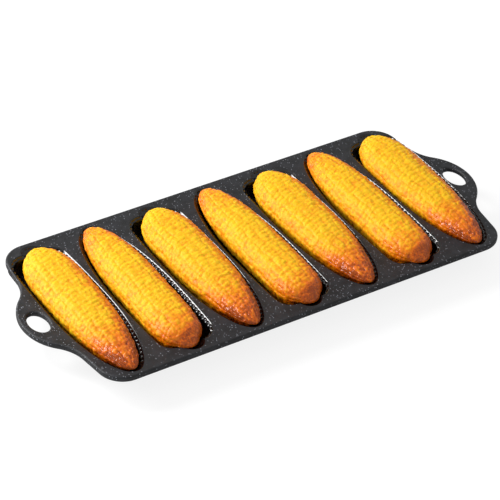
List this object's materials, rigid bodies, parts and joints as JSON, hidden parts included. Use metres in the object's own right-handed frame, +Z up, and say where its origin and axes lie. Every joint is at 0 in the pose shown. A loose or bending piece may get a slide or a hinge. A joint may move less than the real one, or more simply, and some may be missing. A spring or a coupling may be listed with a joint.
{
  "type": "corn stick pan",
  "caption": "Cast iron baking pan with cob-shaped cavities under a flat plate, a holed handle at each end, and baked corn sticks that lift out of the cavities.",
  "frame": {"origin": "under the middle of the pan, on the surface that it stands on", "axes": "+X along the pan from handle to handle, +Y across it to the far long edge, +Z up"},
  "size_m": [0.34, 0.144, 0.0307],
  "materials": {
    "seasoned_iron": "seasoned sand casting",
    "cornbread": "baked, slightly oily crust"
  },
  "bodies": {
    "pan": {"pan_casting": "seasoned_iron"},
    "stick_1": {"corn_stick_1": "cornbread"},
    "stick_2": {"corn_stick_2": "cornbread"},
    "stick_3": {"corn_stick_3": "cornbread"},
    "stick_4": {"corn_stick_4": "cornbread"},
    "stick_5": {"corn_stick_5": "cornbread"},
    "stick_6": {"corn_stick_6": "cornbread"},
    "stick_7": {"corn_stick_7": "cornbread"}
  },
  "joints": [
    {"name": "lift_stick_1", "type": "slide", "parent": "pan", "child": "stick_1", "axis": [0, 0, 1], "range_m": [0, 0.05]},
    {"name": "lift_stick_2", "type": "slide", "parent": "pan", "child": "stick_2", "axis": [0, 0, 1], "range_m": [0, 0.05]},
    {"name": "lift_stick_3", "type": "slide", "parent": "pan", "child": "stick_3", "axis": [0, 0, 1], "range_m": [0, 0.05]},
    {"name": "lift_stick_4", "type": "slide", "parent": "pan", "child": "stick_4", "axis": [0, 0, 1], "range_m": [0, 0.05]},
    {"name": "lift_stick_5", "type": "slide", "parent": "pan", "child": "stick_5", "axis": [0, 0, 1], "range_m": [0, 0.05]},
    {"name": "lift_stick_6", "type": "slide", "parent": "pan", "child": "stick_6", "axis": [0, 0, 1], "range_m": [0, 0.05]},
    {"name": "lift_stick_7", "type": "slide", "parent": "pan", "child": "stick_7", "axis": [0, 0, 1], "range_m": [0, 0.05]}
  ]
}
